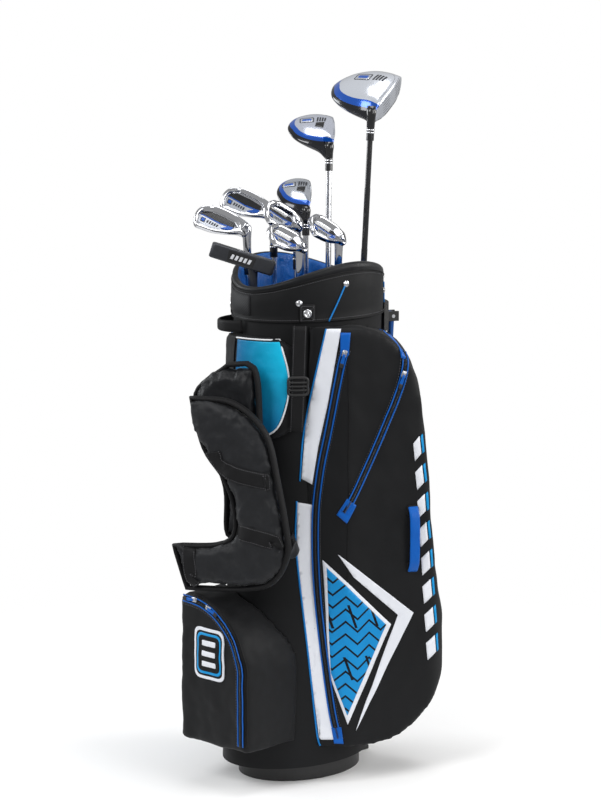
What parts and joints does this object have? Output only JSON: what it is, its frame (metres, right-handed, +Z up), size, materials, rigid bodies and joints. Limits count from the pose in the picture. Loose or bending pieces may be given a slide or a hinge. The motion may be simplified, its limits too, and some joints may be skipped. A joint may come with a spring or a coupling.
{
  "type": "golf club set with stand bag",
  "caption": "Golf stand bag with woods, irons and a putter in it, folded legs, padded shoulder straps and zipped pockets.",
  "frame": {"origin": "on the floor under the middle of the bag body at its base", "axes": "+Z up along the bag; -Y towards the shoulder straps and ball pocket; +Y towards the folded legs; +X towards the large side pocket"},
  "size_m": [0.387, 0.4125, 1.1887],
  "materials": {
    "moulded_black": "satin",
    "shell_fabric": "woven, matt",
    "collar_foam": "woven over foam, matt",
    "lining_blue": "satin",
    "steel_dark": "brushed",
    "leg_blue": "gloss",
    "rubber_black": "matt",
    "hip_blue": "satin",
    "pad_satin": "satin, wrinkled",
    "webbing_black": "ribbed",
    "zip_blue": "satin",
    "rivet_steel": "polished",
    "wood_silver": "gloss",
    "iron_chrome": "polished",
    "putter_grey": "matt",
    "shaft_graphite": "gloss",
    "shaft_steel": "polished",
    "grip_rubber": "matt, textured"
  },
  "bodies": {
    "bag": {"bag_shell": "shell_fabric", "ball_pocket": "shell_fabric", "base_cup": "moulded_black", "carry_handle": "webbing_black", "collar_rivets": "rivet_steel", "hip_pad": "hip_blue", "leg_bracket": "moulded_black", "leg_pins": "steel_dark", "lift_handle": "zip_blue", "rod_guides": "moulded_black", "shoulder_pad_front": "pad_satin", "shoulder_pad_rear": "pad_satin", "side_pocket_left": "shell_fabric", "side_pocket_right": "shell_fabric", "stay_rods": "steel_dark", "strap_buckle": "moulded_black", "strap_webbing": "webbing_black", "top_collar": "collar_foam", "top_divider": "lining_blue"},
    "leg_right": {"leg_right": "leg_blue", "leg_foot_right": "rubber_black"},
    "leg_left": {"leg_left": "leg_blue", "leg_foot_left": "rubber_black"},
    "base_flap": {"base_flap": "moulded_black", "flap_pin": "steel_dark"},
    "actuator_rods": {"actuator_rods": "steel_dark"},
    "zip_slider_long": {"zip_slider_long": "zip_blue"},
    "zip_slider_diagonal": {"zip_slider_diagonal": "zip_blue"},
    "zip_slider_ball_right": {"zip_slider_ball_right": "zip_blue"},
    "zip_slider_ball_left": {"zip_slider_ball_left": "zip_blue"},
    "driver": {"driver_head": "wood_silver", "driver_ferrule": "moulded_black", "driver_shaft": "shaft_graphite", "driver_grip": "grip_rubber"},
    "wood_3": {"wood_3_head": "wood_silver", "wood_3_ferrule": "moulded_black", "wood_3_shaft": "shaft_steel", "wood_3_grip": "grip_rubber"},
    "hybrid": {"hybrid_head": "wood_silver", "hybrid_ferrule": "moulded_black", "hybrid_shaft": "shaft_steel", "hybrid_grip": "grip_rubber"},
    "iron_6": {"iron_6_head": "iron_chrome", "iron_6_shaft": "shaft_steel", "iron_6_grip": "grip_rubber"},
    "iron_7": {"iron_7_head": "iron_chrome", "iron_7_shaft": "shaft_steel", "iron_7_grip": "grip_rubber"},
    "iron_8": {"iron_8_head": "iron_chrome", "iron_8_shaft": "shaft_steel", "iron_8_grip": "grip_rubber"},
    "iron_9": {"iron_9_head": "iron_chrome", "iron_9_shaft": "shaft_steel", "iron_9_grip": "grip_rubber"},
    "pitching_wedge": {"pitching_wedge_head": "iron_chrome", "pitching_wedge_shaft": "shaft_steel", "pitching_wedge_grip": "grip_rubber"},
    "putter": {"putter_head": "putter_grey", "putter_shaft": "shaft_steel", "putter_grip": "grip_rubber"}
  },
  "joints": [
    {"name": "leg_right_swing", "type": "hinge", "parent": "bag", "child": "leg_right", "pos_m": [0.066, 0.168, 0.785], "axis": [0.9063, -0.4226, 0], "range_deg": [0, 32], "stiffness_Nm_per_rad": 2, "springref_deg": -5.73},
    {"name": "leg_left_swing", "type": "hinge", "parent": "bag", "child": "leg_left", "pos_m": [-0.066, 0.168, 0.785], "axis": [0.9063, 0.4226, 0], "range_deg": [0, 32]},
    {"name": "base_flap_tilt", "type": "hinge", "parent": "bag", "child": "base_flap", "pos_m": [0, 0.027, 0.01], "axis": [1, 0, 0], "range_deg": [0, 5.54]},
    {"name": "rod_lift", "type": "slide", "parent": "bag", "child": "actuator_rods", "axis": [0, 0.0326, 0.9995], "range_m": [0, 0.01201]},
    {"name": "driver_slide", "type": "slide", "parent": "bag", "child": "driver", "axis": [0.0339, 0.0314, 0.9989], "range_m": [0, 0.84]},
    {"name": "wood_3_slide", "type": "slide", "parent": "bag", "child": "wood_3", "axis": [-0.0326, 0.0402, 0.9987], "range_m": [0, 0.84]},
    {"name": "hybrid_slide", "type": "slide", "parent": "bag", "child": "hybrid", "axis": [-0.0025, 0.005, 1], "range_m": [0, 0.84]},
    {"name": "iron_6_slide", "type": "slide", "parent": "bag", "child": "iron_6", "axis": [-0.0176, -0.0025, 0.9998], "range_m": [0, 0.84]},
    {"name": "iron_7_slide", "type": "slide", "parent": "bag", "child": "iron_7", "axis": [0.0101, -0.0025, 0.9999], "range_m": [0, 0.84]},
    {"name": "iron_8_slide", "type": "slide", "parent": "bag", "child": "iron_8", "axis": [-0.0214, -0.0226, 0.9995], "range_m": [0, 0.84]},
    {"name": "iron_9_slide", "type": "slide", "parent": "bag", "child": "iron_9", "axis": [0.0151, 0.0176, 0.9997], "range_m": [0, 0.84]},
    {"name": "pitching_wedge_slide", "type": "slide", "parent": "bag", "child": "pitching_wedge", "axis": [0.0201, -0.0239, 0.9995], "range_m": [0, 0.84]},
    {"name": "putter_slide", "type": "slide", "parent": "bag", "child": "putter", "axis": [-0.0126, -0.0226, 0.9997], "range_m": [0, 0.84]},
    {"name": "zip_slider_long_run", "type": "slide", "parent": "bag", "child": "zip_slider_long", "axis": [-0.1199, -0.1109, -0.9866], "range_m": [0, 0.2899]},
    {"name": "zip_slider_diagonal_run", "type": "slide", "parent": "bag", "child": "zip_slider_diagonal", "axis": [-0.171, -0.3604, -0.917], "range_m": [0, 0.2141]},
    {"name": "zip_slider_ball_right_run", "type": "hinge", "parent": "bag", "child": "zip_slider_ball_right", "pos_m": [-0.044, -0.208, 0.203], "axis": [0, 1, 0], "range_deg": [0, 60]},
    {"name": "zip_slider_ball_left_run", "type": "slide", "parent": "bag", "child": "zip_slider_ball_left", "axis": [-1, 0, 0], "range_m": [0, 0.006]}
  ],
  "couplings": [
    {"joint": "leg_left_swing", "follows": "leg_right_swing", "ratio": 1},
    {"joint": "base_flap_tilt", "follows": "leg_right_swing", "ratio": 0.173},
    {"joint": "rod_lift", "follows": "leg_right_swing", "m_per_rad": 0.0215}
  ]
}
